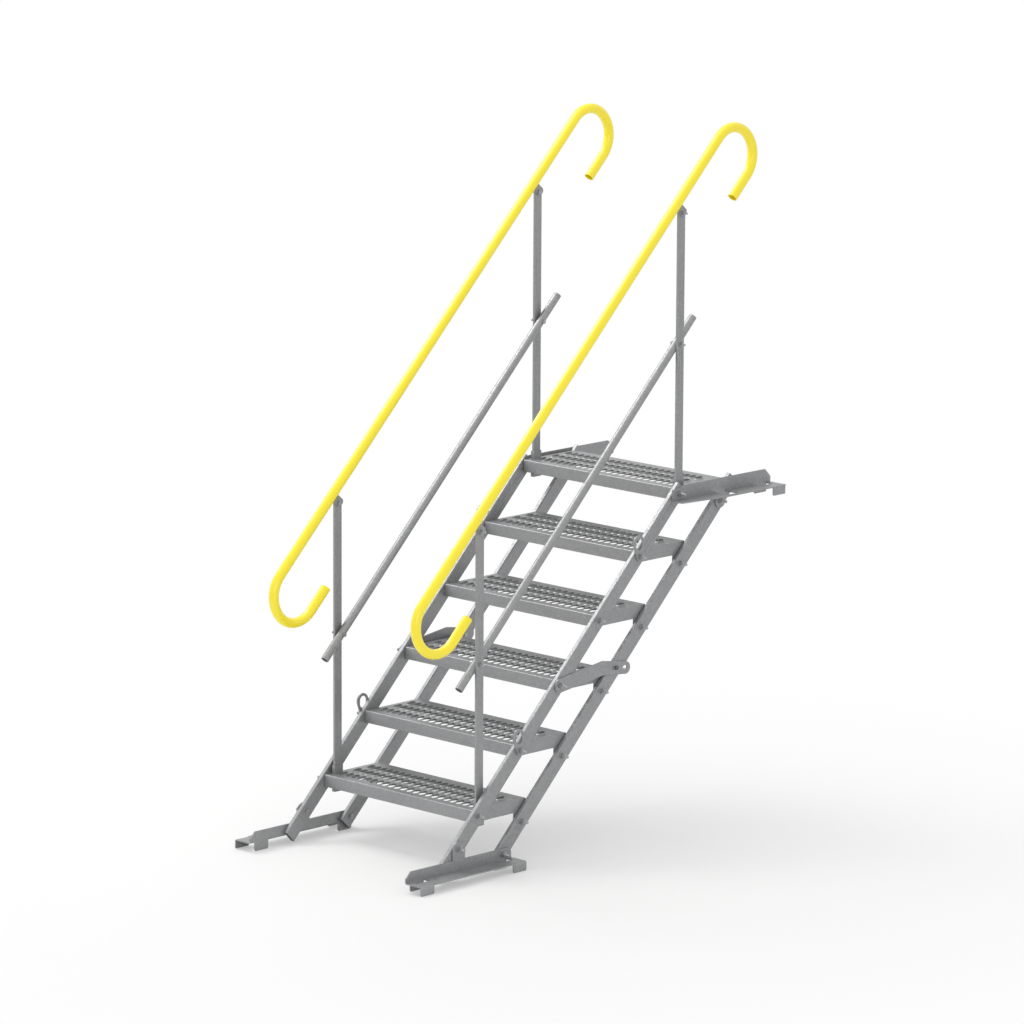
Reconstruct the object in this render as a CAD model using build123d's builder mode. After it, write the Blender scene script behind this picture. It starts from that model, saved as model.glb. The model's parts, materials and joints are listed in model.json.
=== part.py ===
from build123d import *
from collections import namedtuple
from math import cos, radians, sin
import os

# Crossover stair with adjustable pitch: six level treads hang between a pair of front stringers and a
# pair of rear stringers, which swing together on two foot brackets.
# Millimetres, +Z up, +Y the way up the stair, +X its right-hand side. The origin is the middle of the
# underside of the right foot bracket's flange. Sizes across the stair are measured from its mid plane,
# and the right half is modelled, then mirrored.

# Layout of the linkage
PITCH = 45.0
TREADS = 6
PIVOT_STEP = 265.0
FOOT_STEP = 131.5
REAR_PIVOT_Y = 202.0
REAR_PIVOT_Z = -52.0

# Treads
TREAD_WIDTH = 686.0
TREAD_FRONT = -13.0
TREAD_DEPTH = 251.0
TREAD_TOP = 19.0
TREAD_SHEET = 2.5
TREAD_FLANGE = 41.0
TREAD_BEND = 4.0
END_PLATE = 3.0
END_PLATE_HEIGHT = 43.0
EAR_RADIUS = 21.0
EAR_TOP_FILLET = 8.0

# Stringers
STRINGER_WIDTH = 16.0
STRINGER_DEPTH = 50.0
STRINGER_WALL = 2.0
STRINGER_CORNER = 3.0
STRINGER_GAP = 1.5
FRONT_BELOW = 106.0
FRONT_ABOVE = 27.0
REAR_BELOW = 32.5
REAR_ABOVE = 98.0

# Plates that turn on the stringers' outer faces
PLATE = 4.0
PLATE_GAP = 0.5
PLATE_BEND = 3.0

# Bolts and their holes
BoltSize = namedtuple("BoltSize", "shank across_flats head nut stub")
PIVOT_BOLT = BoltSize(shank=10.0, across_flats=16.0, head=6.4, nut=8.0, stub=19.0)
RAIL_BOLT = BoltSize(shank=8.0, across_flats=13.0, head=5.3, nut=6.5, stub=13.0)
LOCK_BOLT = RAIL_BOLT._replace(stub=23.0)
HOLE_CLEARANCE = 0.1
TURN_GAP = 0.3

# Foot brackets, heights from the foot pivot
FOOT_LENGTH = 482.0
FLANGE_WIDTH = 74.0
FOOT_FLANGE_DROP = 72.0
FOOT_WEB_TOP = -33.0
FOOT_EAR_RADIUS = 28.0
FOOT_EAR_FILLET = 14.0
FOOT_NOSE = 22.0
FOOT_NOSE_FILLET = 10.0
FOOT_TAIL_RADIUS = 20.0
FOOT_HOLE = 9.0
FOOT_HOLE_Y = 140.0
FOOT_HOLE_INSET = 37.0

# Claws
CLAW_WIDTH = 60.0
CLAW_LENGTH = 28.0
CLAW_ROOT = 12.0
CLAW_CORNER = 6.0
CLAW_TEETH = 8
CLAW_TOOTH = 3.0
FOOT_INNER_CLAW_Y = 160.0
FOOT_OUTER_CLAW_Y = 181.0

# Top brackets, places from the top tread's front pivot
TOP_FRONT = -34.0
TOP_LENGTH = 484.0
TOP_FLANGE_DROP = 24.0
TOP_WEB_TOP = 26.0
TOP_NOSE_TOP = 14.6
TOP_TAIL_CHAMFER = 27.0
TOP_TAIL_FILLET = 5.0
TOP_FLANGE_NARROW = 49.0
TOP_TAPER = 190.0
TOP_NOSE_SLOPE = 6.0
TOP_NOSE_END = 35.0
TOP_LUG_WIDTH = 53.0
TOP_LUG_RADIUS = 24.0
TOP_INNER_CLAW_Y = 370.0
TOP_OUTER_CLAW_Y = 388.0

# Lock arms, from the third tread's front pivot, with places counted from the lock bolt
LOCK_TREAD = 3
LOCK_BOLT_STEP = 98.0
ARM_RADIUS = 24.0
ARM_BEND = (-71.0, 9.0)
ARM_END = (39.0, -6.0)
ARM_END_RADIUS = 21.0
SLOT_WIDTH = 12.0
SLOT_LENGTH = 74.0
SLOT_MIDDLE = (7.6, -0.75)
SLOT_TILT = -5.6

# Lifting plates
LIFTING_TREADS = (2, 5)
LIFTING_PLATE = 5.0
LIFTING_FOOT_RADIUS = 16.0
LIFTING_EYE = (-6.0, 48.0)
LIFTING_EYE_RADIUS = 25.5
LIFTING_HOLE = (-4.5, 44.0)
LIFTING_HOLE_WIDTH = 30.0
LIFTING_HOLE_LENGTH = 40.0

# Posts and their sockets, heights from the tread's pivot
POST_INSET = 14.0
POST_Y = 33.0
POST_DEPTH = 32.0
POST_THICK = 8.0
RAIL_BOLT_HEIGHT = 932.0
MID_BOLT_HEIGHT = 493.0
SOCKET_TOP = 47.0
SOCKET_BOTTOM = -42.0
SOCKET_WALL = 2.5
SOCKET_FIT = 0.2
SOCKET_BASE = 4.0

# Handrails and mid-rails
HANDRAIL = 33.7
HANDRAIL_WALL = 2.6
HANDRAIL_RISE = 37.5
CROOK_RADIUS = 98.0
CROOK_BELOW = 330.4
CROOK_ABOVE = 289.6
CROOK_TAIL = 96.0
MID_RAIL = 26.9
MID_RAIL_WALL = 2.3
MID_RAIL_BELOW = 107.0
MID_RAIL_ABOVE = 115.0
LUG_PLATE = 3.0
LUG_SEAT = 0.1
LUG_BELOW = 11.0
LUG_ABOVE = 20.0
LUG_DEPTH = 14.5
LUG_FILLET = 4.0

# Places that follow from the sizes above
END_PLATE_OUT = TREAD_WIDTH / 2
STRINGER_IN = END_PLATE_OUT + STRINGER_GAP
STRINGER_OUT = STRINGER_IN + STRINGER_WIDTH
PLATE_IN = STRINGER_OUT + PLATE_GAP
PLATE_OUT = PLATE_IN + PLATE
FLANGE_OUT = PLATE_IN + FLANGE_WIDTH
MID_X = -(PLATE_IN + FLANGE_WIDTH / 2)
MID_PLANE = Plane.YZ.offset(MID_X)
POST_X = END_PLATE_OUT - POST_INSET
MID_RAIL_X = POST_X - POST_THICK / 2 - TURN_GAP - MID_RAIL / 2
POST_TREADS = {"lower": 1, "upper": TREADS}


def front_pivot(k):
    """Place (y, z) of the front pivot of the foot (0) or of tread k."""
    along = 0 if k == 0 else FOOT_STEP + (k - 1) * PIVOT_STEP
    return along * cos(radians(PITCH)), FOOT_FLANGE_DROP + along * sin(radians(PITCH))


def rear_pivot(k):
    """Place (y, z) of the rear pivot of the foot (0) or of tread k."""
    y, z = front_pivot(k)
    return y + REAR_PIVOT_Y, z + REAR_PIVOT_Z


def up_slope(place, along, above=0.0):
    """Place (y, z) that lies so far along the slope and square above it from another."""
    turn = radians(PITCH)
    return (
        place[0] + along * cos(turn) - above * sin(turn),
        place[1] + along * sin(turn) + above * cos(turn),
    )


def upright(x, place=(0.0, 0.0)):
    """Plane across the stair at x from the mid plane: local x is +Y and local y is +Z from place."""
    return Plane(origin=(MID_X + x, *place), x_dir=(0, 1, 0), z_dir=(1, 0, 0))


def sloped(x, place):
    """The upright plane turned so that local x runs up the slope."""
    turn = radians(PITCH)
    return Plane(origin=(MID_X + x, *place), x_dir=(0, cos(turn), sin(turn)), z_dir=(1, 0, 0))


def crosscut(place):
    """Plane square to +Y at place: local x is the distance from the mid plane and local y is +Z."""
    return Plane(origin=(MID_X, *place), x_dir=(1, 0, 0), z_dir=(0, -1, 0))


def level(place, height):
    """Level plane: local x is the distance from the mid plane and local y is +Y from place."""
    return Plane(origin=(MID_X, place[0], place[1] + height), x_dir=(1, 0, 0), z_dir=(0, 0, 1))


def slope_cut(place):
    """Plane square to the slope at place, facing down it: local y is square above the slope."""
    turn = radians(PITCH)
    return Plane(origin=(MID_X, *place), x_dir=(1, 0, 0), z_dir=(0, -cos(turn), -sin(turn)))


def save(piece, name):
    """Label a piece and write it as a file of that name."""
    piece.part.label = name
    export_step(piece.part, f"parts/{name}.step")
    print(name, len(piece.part.solids()), "solids")


def bolt(size, place, inner, outer):
    """One bolt along X: its head ends at inner and its nut starts at outer, with a short thread end."""
    with BuildPart() as one:
        with BuildSketch(upright(inner - size.head, place)):
            RegularPolygon(size.across_flats / 2, 6, major_radius=False)
        extrude(amount=size.head)
        with BuildSketch(upright(inner, place)):
            Circle(size.shank / 2)
        extrude(amount=outer + size.nut + size.stub - inner)
        with BuildSketch(upright(outer, place)):
            RegularPolygon(size.across_flats / 2, 6, major_radius=False)
        extrude(amount=size.nut)
    return one.part


def serrated(start, top, tip):
    """Outline of a claw that hangs from top to tip and starts at start, toothed between round corners."""
    first = start + CLAW_CORNER
    end = start + CLAW_WIDTH
    pitch = (CLAW_WIDTH - 2 * CLAW_CORNER) / CLAW_TEETH
    cut = CLAW_CORNER * (1 - cos(radians(45)))
    teeth = [(start, tip + CLAW_CORNER), (start + cut, tip + cut), (first, tip)]
    for i in range(CLAW_TEETH):
        teeth.append((first + (i + 0.5) * pitch, tip + CLAW_TOOTH))
        teeth.append((first + (i + 1) * pitch, tip))
    return [(start, top), *teeth, (end - cut, tip + cut), (end, tip + CLAW_CORNER), (end, top), (start, top)]


def outer_claw(place, start, flange):
    """Claw folded down from a flange's outer edge; the flange's underside is at that height from place."""
    with BuildPart() as claw:
        with BuildSketch(crosscut((place[0] + start + CLAW_WIDTH, place[1]))):
            with BuildLine():
                Polyline(
                    (FLANGE_OUT - CLAW_ROOT, flange + PLATE),
                    (FLANGE_OUT, flange + PLATE),
                    (FLANGE_OUT, flange - CLAW_LENGTH),
                    (FLANGE_OUT - PLATE, flange - CLAW_LENGTH),
                    (FLANGE_OUT - PLATE, flange),
                    (FLANGE_OUT - CLAW_ROOT, flange),
                    close=True,
                )
            section = make_face()
            fillet(section.vertices().group_by(Axis.Y)[-1].sort_by(Axis.X)[-1], PLATE_BEND + PLATE)
            fillet(section.vertices().group_by(Axis.Y)[1].sort_by(Axis.X)[-1], PLATE_BEND)
        extrude(amount=CLAW_WIDTH)
        with BuildSketch(upright(FLANGE_OUT - CLAW_ROOT, place)):
            with BuildLine():
                Polyline(*serrated(start, flange + PLATE, flange - CLAW_LENGTH))
            make_face()
        extrude(amount=CLAW_ROOT, mode=Mode.INTERSECT)
    return claw.part


os.makedirs("parts", exist_ok=True)

# Foot brackets: a folded plate, its web outside the stringers and its flange outwards on the ground
FOOT = front_pivot(0)
FOOT_HALF = FOOT_LENGTH / 2
CLAW_TIP = -(FOOT_FLANGE_DROP + CLAW_LENGTH)
with BuildPart() as foot_bracket_right:
    with BuildSketch(crosscut((FOOT[0] + FOOT_HALF, FOOT[1]))):
        with BuildLine():
            Polyline(
                (PLATE_IN, FOOT_EAR_RADIUS),
                (PLATE_IN, -FOOT_FLANGE_DROP),
                (FLANGE_OUT, -FOOT_FLANGE_DROP),
                (FLANGE_OUT, PLATE - FOOT_FLANGE_DROP),
                (PLATE_OUT, PLATE - FOOT_FLANGE_DROP),
                (PLATE_OUT, FOOT_EAR_RADIUS),
                close=True,
            )
        section = make_face()
        fillet(section.vertices().group_by(Axis.Y)[0].sort_by(Axis.X)[0], PLATE_BEND + PLATE)
        fillet(section.vertices().group_by(Axis.Y)[1].sort_by(Axis.X)[0], PLATE_BEND)
    extrude(amount=FOOT_LENGTH)
    with BuildSketch(upright(PLATE_IN, FOOT)):
        with BuildLine():
            nose = Polyline(
                (-FOOT_HALF, -FOOT_FLANGE_DROP),
                (-FOOT_HALF, FOOT_WEB_TOP - FOOT_NOSE),
                (FOOT_NOSE - FOOT_HALF, FOOT_WEB_TOP),
            )
            top = Line(nose @ 1, (FOOT_HALF, FOOT_WEB_TOP))
            Line(top @ 1, (FOOT_HALF, -FOOT_FLANGE_DROP))
            Line((FOOT_HALF, -FOOT_FLANGE_DROP), nose @ 0)
        web = make_face()
        fillet(web.vertices().group_by(Axis.Y)[-1].sort_by(Axis.X)[-1], FOOT_TAIL_RADIUS)
        fillet(web.vertices().group_by(Axis.Y)[-1].sort_by(Axis.X)[0], FOOT_NOSE_FILLET)
        fillet(web.vertices().group_by(Axis.Y)[1], FOOT_NOSE_FILLET)
        Circle(FOOT_EAR_RADIUS)
        Rectangle(2 * FOOT_EAR_RADIUS, -FOOT_WEB_TOP, align=(Align.CENTER, Align.MAX))
    extrude(amount=FLANGE_WIDTH, mode=Mode.INTERSECT)
    with BuildSketch(level(FOOT, -FOOT_FLANGE_DROP)):
        for y in (FOOT_INNER_CLAW_Y, -FOOT_INNER_CLAW_Y - CLAW_WIDTH):
            with Locations((PLATE_IN, y)):
                Rectangle(PLATE + CLAW_LENGTH, CLAW_WIDTH, align=(Align.MIN, Align.MIN))
        for y in (FOOT_OUTER_CLAW_Y, -FOOT_OUTER_CLAW_Y - CLAW_WIDTH):
            with Locations((FLANGE_OUT, y)):
                Rectangle(CLAW_ROOT, CLAW_WIDTH, align=(Align.MAX, Align.MIN))
    extrude(amount=PLATE + PLATE_BEND, mode=Mode.SUBTRACT)
    for start in (FOOT_INNER_CLAW_Y, -FOOT_INNER_CLAW_Y - CLAW_WIDTH):
        with BuildSketch(upright(PLATE_IN, FOOT)):
            with BuildLine():
                Polyline(*serrated(start, PLATE + PLATE_BEND - FOOT_FLANGE_DROP, CLAW_TIP))
            make_face()
        extrude(amount=PLATE)
    for start in (FOOT_OUTER_CLAW_Y, -FOOT_OUTER_CLAW_Y - CLAW_WIDTH):
        add(outer_claw(FOOT, start, -FOOT_FLANGE_DROP))
    with BuildSketch(upright(PLATE_IN, FOOT)):
        with Locations((0, 0), (REAR_PIVOT_Y, REAR_PIVOT_Z)):
            Circle((PIVOT_BOLT.shank + HOLE_CLEARANCE) / 2)
    extrude(amount=PLATE, mode=Mode.SUBTRACT)
    with BuildSketch(level(FOOT, -FOOT_FLANGE_DROP)):
        with Locations(*[(FLANGE_OUT - FOOT_HOLE_INSET, y) for y in (-FOOT_HOLE_Y, FOOT_HOLE_Y)]):
            Circle(FOOT_HOLE / 2)
    extrude(amount=PLATE, mode=Mode.SUBTRACT)
save(foot_bracket_right, "foot_bracket_right")

with BuildPart() as foot_bracket_left:
    mirror(foot_bracket_right.part, about=MID_PLANE)
save(foot_bracket_left, "foot_bracket_left")

# Stringers: hollow rectangular tubes, cut square and open at both ends, bored at each pivot
for name, pivot, below, above in (
    ("front_stringer", front_pivot, FRONT_BELOW, FRONT_ABOVE),
    ("rear_stringer", rear_pivot, REAR_BELOW, REAR_ABOVE),
):
    bolts = [(pivot(k), PIVOT_BOLT) for k in range(TREADS + 1)]
    if pivot is rear_pivot:
        bolts.append((up_slope(pivot(LOCK_TREAD), LOCK_BOLT_STEP), RAIL_BOLT))
    with BuildPart() as right:
        with BuildSketch(slope_cut(up_slope(pivot(TREADS), above))):
            with Locations((STRINGER_IN + STRINGER_WIDTH / 2, 0)):
                RectangleRounded(STRINGER_WIDTH, STRINGER_DEPTH, STRINGER_CORNER)
                RectangleRounded(
                    STRINGER_WIDTH - 2 * STRINGER_WALL,
                    STRINGER_DEPTH - 2 * STRINGER_WALL,
                    STRINGER_CORNER - STRINGER_WALL,
                    mode=Mode.SUBTRACT,
                )
        extrude(amount=below + FOOT_STEP + (TREADS - 1) * PIVOT_STEP + above)
        for place, size in bolts:
            with BuildSketch(upright(STRINGER_IN, place)):
                Circle((size.shank + HOLE_CLEARANCE) / 2)
            extrude(amount=STRINGER_WIDTH, mode=Mode.SUBTRACT)
    save(right, f"{name}_right")
    with BuildPart() as left:
        mirror(right.part, about=MID_PLANE)
    save(left, f"{name}_left")

# Pivot bolts: heads inside the end plates, nuts outside whatever plate turns on the stringer there
HEAD_AT_TREAD = END_PLATE_OUT - END_PLATE - TURN_GAP
NUT_AT_PLATE = PLATE_OUT + PLATE_GAP
front_bolts = []
rear_bolts = []
for k in range(TREADS + 1):
    head = STRINGER_IN if k == 0 else HEAD_AT_TREAD
    nut = STRINGER_OUT
    if k in LIFTING_TREADS:
        nut = STRINGER_OUT + LIFTING_PLATE
    if k in (0, LOCK_TREAD, TREADS):
        nut = NUT_AT_PLATE
    front_bolts.append(bolt(PIVOT_BOLT, front_pivot(k), head, nut))
    rear_bolts.append(bolt(PIVOT_BOLT, rear_pivot(k), head, NUT_AT_PLATE if k in (0, TREADS) else STRINGER_OUT))
for name, bolts in (("front_pivot_bolts", front_bolts), ("rear_pivot_bolts", rear_bolts)):
    with BuildPart() as pivot_bolts:
        add(bolts)
        mirror(about=MID_PLANE)
    save(pivot_bolts, name)

# Lifting plates: an eye above a round foot, held on the front stringer by the pivot bolt
with BuildPart() as lifting_plates:
    for k in LIFTING_TREADS:
        with BuildSketch(upright(STRINGER_OUT, front_pivot(k))):
            Circle(LIFTING_FOOT_RADIUS)
            with Locations(LIFTING_EYE):
                Circle(LIFTING_EYE_RADIUS)
            make_hull()
            with Locations(LIFTING_HOLE):
                SlotOverall(LIFTING_HOLE_LENGTH, LIFTING_HOLE_WIDTH, rotation=90, mode=Mode.SUBTRACT)
            Circle((PIVOT_BOLT.shank + HOLE_CLEARANCE) / 2, mode=Mode.SUBTRACT)
        extrude(amount=LIFTING_PLATE)
    mirror(about=MID_PLANE)
save(lifting_plates, "lifting_plates")

# Lock arms: bent slotted arms on the third tread's front pivots, clamped by a bolt in the rear stringer
LOCK_PIVOT = front_pivot(LOCK_TREAD)
LOCK_BOLT_PLACE = up_slope(rear_pivot(LOCK_TREAD), LOCK_BOLT_STEP)
LOCK_REACH = (LOCK_BOLT_PLACE[0] - LOCK_PIVOT[0], LOCK_BOLT_PLACE[1] - LOCK_PIVOT[1])
ARM_KNEE = (LOCK_REACH[0] + ARM_BEND[0], LOCK_REACH[1] + ARM_BEND[1])
ARM_TIP = (LOCK_REACH[0] + ARM_END[0], LOCK_REACH[1] + ARM_END[1])
with BuildPart() as lock_arm_right:
    for start, start_radius, end, end_radius in (
        ((0, 0), ARM_RADIUS, ARM_KNEE, ARM_RADIUS),
        (ARM_KNEE, ARM_RADIUS, ARM_TIP, ARM_END_RADIUS),
    ):
        with BuildSketch(upright(PLATE_IN, LOCK_PIVOT)):
            with Locations(start):
                Circle(start_radius)
            with Locations(end):
                Circle(end_radius)
            make_hull()
        extrude(amount=PLATE)
    with BuildSketch(upright(PLATE_IN, LOCK_PIVOT)):
        Circle((PIVOT_BOLT.shank + HOLE_CLEARANCE) / 2)
        with Locations((LOCK_REACH[0] + SLOT_MIDDLE[0], LOCK_REACH[1] + SLOT_MIDDLE[1])):
            SlotOverall(SLOT_LENGTH, SLOT_WIDTH, rotation=SLOT_TILT)
    extrude(amount=PLATE, mode=Mode.SUBTRACT)
save(lock_arm_right, "lock_arm_right")
with BuildPart() as lock_arm_left:
    mirror(lock_arm_right.part, about=MID_PLANE)
save(lock_arm_left, "lock_arm_left")

with BuildPart() as lock_bolts:
    add(bolt(LOCK_BOLT, LOCK_BOLT_PLACE, STRINGER_IN, NUT_AT_PLATE))
    mirror(about=MID_PLANE)
save(lock_bolts, "lock_bolts")

# Treads: a folded pan, an end plate with an ear at each end, slots for the sockets in the end treads
SOCKET_DEPTH = POST_DEPTH + 2 * (SOCKET_FIT + SOCKET_WALL)
SOCKET_THICK = POST_THICK + 2 * (SOCKET_FIT + SOCKET_WALL)
for k in range(1, TREADS + 1):
    with BuildPart() as tread:
        with BuildSketch(upright(END_PLATE - END_PLATE_OUT, front_pivot(k))):
            with Locations((TREAD_FRONT, TREAD_TOP)):
                pan = Rectangle(TREAD_DEPTH, TREAD_FLANGE, align=(Align.MIN, Align.MAX))
            fillet(pan.vertices().group_by(Axis.Y)[-1], TREAD_BEND)
            with Locations((TREAD_FRONT + TREAD_SHEET, TREAD_TOP - TREAD_SHEET)):
                Rectangle(
                    TREAD_DEPTH - 2 * TREAD_SHEET, TREAD_FLANGE, align=(Align.MIN, Align.MAX), mode=Mode.SUBTRACT
                )
        extrude(amount=TREAD_WIDTH - 2 * END_PLATE)
        with BuildSketch(upright(END_PLATE_OUT - END_PLATE, front_pivot(k))):
            with Locations((TREAD_FRONT, TREAD_TOP)):
                end = Rectangle(TREAD_DEPTH, END_PLATE_HEIGHT, align=(Align.MIN, Align.MAX))
            fillet(end.vertices().group_by(Axis.Y)[-1], TREAD_BEND)
            with Locations((REAR_PIVOT_Y, REAR_PIVOT_Z)):
                Circle(EAR_RADIUS)
                Rectangle(2 * EAR_RADIUS, -REAR_PIVOT_Z, align=(Align.CENTER, Align.MIN))
            with Locations((0, 0), (REAR_PIVOT_Y, REAR_PIVOT_Z)):
                Circle((PIVOT_BOLT.shank + HOLE_CLEARANCE) / 2, mode=Mode.SUBTRACT)
        extrude(amount=END_PLATE)
        mirror(about=MID_PLANE)
        if k in POST_TREADS.values():
            with BuildSketch(level(front_pivot(k), TREAD_TOP - TREAD_SHEET)):
                with Locations((POST_X, POST_Y), (-POST_X, POST_Y)):
                    Rectangle(SOCKET_THICK + 2 * SOCKET_FIT, SOCKET_DEPTH + 2 * SOCKET_FIT)
            extrude(amount=TREAD_SHEET, mode=Mode.SUBTRACT)
    save(tread, f"tread_{k}")

# Top brackets: the same folded plate, on the top tread's pivots, with a hanging lug and rear claws
TOP = front_pivot(TREADS)
TOP_REAR = TOP_FRONT + TOP_LENGTH
TOP_CLAW_TIP = -(TOP_FLANGE_DROP + CLAW_LENGTH)
LUG_DROP = TOP_LUG_RADIUS - REAR_PIVOT_Z - TOP_FLANGE_DROP + PLATE
with BuildPart() as top_bracket_right:
    with BuildSketch(crosscut((TOP[0] + TOP_REAR, TOP[1]))):
        with BuildLine():
            Polyline(
                (PLATE_IN, TOP_WEB_TOP),
                (PLATE_IN, -TOP_FLANGE_DROP),
                (FLANGE_OUT, -TOP_FLANGE_DROP),
                (FLANGE_OUT, PLATE - TOP_FLANGE_DROP),
                (PLATE_OUT, PLATE - TOP_FLANGE_DROP),
                (PLATE_OUT, TOP_WEB_TOP),
                close=True,
            )
        section = make_face()
        fillet(section.vertices().group_by(Axis.Y)[0].sort_by(Axis.X)[0], PLATE_BEND + PLATE)
        fillet(section.vertices().group_by(Axis.Y)[1].sort_by(Axis.X)[0], PLATE_BEND)
    extrude(amount=TOP_LENGTH)
    with BuildSketch(upright(PLATE_IN, TOP)):
        with BuildLine():
            Polyline(
                (TOP_FRONT, -TOP_FLANGE_DROP),
                (TOP_FRONT, TOP_NOSE_TOP),
                (0, TOP_WEB_TOP - TOP_NOSE_SLOPE),
                (TOP_NOSE_END, TOP_WEB_TOP),
                (TOP_REAR - TOP_TAIL_CHAMFER, TOP_WEB_TOP),
                (TOP_REAR, TOP_WEB_TOP - TOP_TAIL_CHAMFER),
                (TOP_REAR, -TOP_FLANGE_DROP),
                close=True,
            )
        web = make_face()
        fillet(web.vertices().group_by(Axis.Y)[-1].sort_by(Axis.X)[-1], TOP_TAIL_FILLET)
    extrude(amount=FLANGE_WIDTH, mode=Mode.INTERSECT)
    with BuildSketch(level(TOP, -TOP_FLANGE_DROP)):
        with BuildLine():
            Polyline(
                (PLATE_IN + TOP_FLANGE_NARROW, TOP_FRONT),
                (FLANGE_OUT, TOP_FRONT + TOP_TAPER),
                (FLANGE_OUT, TOP_FRONT),
                close=True,
            )
        make_face()
        with Locations((PLATE_IN, REAR_PIVOT_Y)):
            Rectangle(PLATE + LUG_DROP, TOP_LUG_WIDTH, align=(Align.MIN, Align.CENTER))
        with Locations((PLATE_IN, TOP_INNER_CLAW_Y)):
            Rectangle(PLATE + CLAW_LENGTH, CLAW_WIDTH, align=(Align.MIN, Align.MIN))
        with Locations((FLANGE_OUT, TOP_OUTER_CLAW_Y)):
            Rectangle(CLAW_ROOT, CLAW_WIDTH, align=(Align.MAX, Align.MIN))
    extrude(amount=PLATE + PLATE_BEND, mode=Mode.SUBTRACT)
    with BuildSketch(upright(PLATE_IN, TOP)):
        with Locations((REAR_PIVOT_Y, REAR_PIVOT_Z)):
            Circle(TOP_LUG_RADIUS)
            Rectangle(
                2 * TOP_LUG_RADIUS,
                PLATE + PLATE_BEND - TOP_FLANGE_DROP - REAR_PIVOT_Z,
                align=(Align.CENTER, Align.MIN),
            )
    extrude(amount=PLATE)
    with BuildSketch(upright(PLATE_IN, TOP)):
        with BuildLine():
            Polyline(*serrated(TOP_INNER_CLAW_Y, PLATE + PLATE_BEND - TOP_FLANGE_DROP, TOP_CLAW_TIP))
        make_face()
    extrude(amount=PLATE)
    add(outer_claw(TOP, TOP_OUTER_CLAW_Y, -TOP_FLANGE_DROP))
    with BuildSketch(upright(PLATE_IN, TOP)):
        with Locations((0, 0), (REAR_PIVOT_Y, REAR_PIVOT_Z)):
            Circle((PIVOT_BOLT.shank + HOLE_CLEARANCE) / 2)
    extrude(amount=PLATE, mode=Mode.SUBTRACT)
save(top_bracket_right, "top_bracket_right")
with BuildPart() as top_bracket_left:
    mirror(top_bracket_right.part, about=MID_PLANE)
save(top_bracket_left, "top_bracket_left")

# Sockets, posts and the bolts through the posts, at the bottom and the top tread
BOLT_HOLE = (RAIL_BOLT.shank + HOLE_CLEARANCE) / 2
for name, k in POST_TREADS.items():
    foot = (front_pivot(k)[0] + POST_Y, front_pivot(k)[1])
    with BuildPart() as sockets:
        with BuildSketch(level(foot, SOCKET_BOTTOM)):
            with Locations((POST_X, 0)):
                Rectangle(SOCKET_THICK, SOCKET_DEPTH)
                Rectangle(SOCKET_THICK - 2 * SOCKET_WALL, SOCKET_DEPTH - 2 * SOCKET_WALL, mode=Mode.SUBTRACT)
        extrude(amount=SOCKET_TOP - SOCKET_BOTTOM)
        with BuildSketch(level(foot, SOCKET_BOTTOM)):
            with Locations((POST_X, 0)):
                Rectangle(SOCKET_THICK, SOCKET_DEPTH)
        extrude(amount=SOCKET_BASE)
        mirror(about=MID_PLANE)
    save(sockets, f"{name}_sockets")

    with BuildPart() as post_right:
        with BuildSketch(upright(POST_X, foot)):
            with Locations((0, SOCKET_BOTTOM + SOCKET_BASE)):
                Rectangle(
                    POST_DEPTH, RAIL_BOLT_HEIGHT - SOCKET_BOTTOM - SOCKET_BASE, align=(Align.CENTER, Align.MIN)
                )
            with Locations((0, RAIL_BOLT_HEIGHT)):
                Circle(POST_DEPTH / 2)
            with Locations((0, RAIL_BOLT_HEIGHT), (0, MID_BOLT_HEIGHT)):
                Circle(BOLT_HOLE, mode=Mode.SUBTRACT)
        extrude(amount=POST_THICK / 2, both=True)
    save(post_right, f"{name}_post_right")
    with BuildPart() as post_left:
        mirror(post_right.part, about=MID_PLANE)
    save(post_left, f"{name}_post_left")

    lug_reach = POST_THICK / 2 + 2 * TURN_GAP + LUG_PLATE
    rail_back = MID_RAIL_X - MID_RAIL / 2 - TURN_GAP
    with BuildPart() as rail_bolts:
        add(bolt(RAIL_BOLT, (foot[0], foot[1] + RAIL_BOLT_HEIGHT), POST_X - lug_reach, POST_X + lug_reach))
        add(bolt(RAIL_BOLT, (foot[0], foot[1] + MID_BOLT_HEIGHT), rail_back, POST_X + POST_THICK / 2))
        mirror(about=MID_PLANE)
    save(rail_bolts, f"{name}_rail_bolts")

# Handrails: one bent tube a side, with a half-round crook and a short tail at each end
POST_STEP = (TREADS - 1) * PIVOT_STEP
LUG_BOLT = (front_pivot(1)[0] + POST_Y, front_pivot(1)[1] + RAIL_BOLT_HEIGHT)
RAIL_START = up_slope(LUG_BOLT, 0, HANDRAIL_RISE)
LOW = -CROOK_BELOW
HIGH = POST_STEP + CROOK_ABOVE
with BuildPart() as handrail_right:
    for end, above, reach in (
        (HIGH, 0, HIGH - LOW),
        (LOW + CROOK_TAIL, -2 * CROOK_RADIUS, CROOK_TAIL),
        (HIGH, -2 * CROOK_RADIUS, CROOK_TAIL),
    ):
        with BuildSketch(slope_cut(up_slope(RAIL_START, end, above))):
            with Locations((POST_X, 0)):
                Circle(HANDRAIL / 2)
                Circle(HANDRAIL / 2 - HANDRAIL_WALL, mode=Mode.SUBTRACT)
        extrude(amount=reach)
    for along, way in ((LOW, 1), (HIGH, -1)):
        with BuildSketch(slope_cut(up_slope(RAIL_START, along))):
            with Locations((POST_X, 0)):
                Circle(HANDRAIL / 2)
                Circle(HANDRAIL / 2 - HANDRAIL_WALL, mode=Mode.SUBTRACT)
        middle = up_slope(RAIL_START, along, -CROOK_RADIUS)
        revolve(axis=Axis((MID_X, *middle), (way, 0, 0)), revolution_arc=180)
save(handrail_right, "handrail_right")
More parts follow.
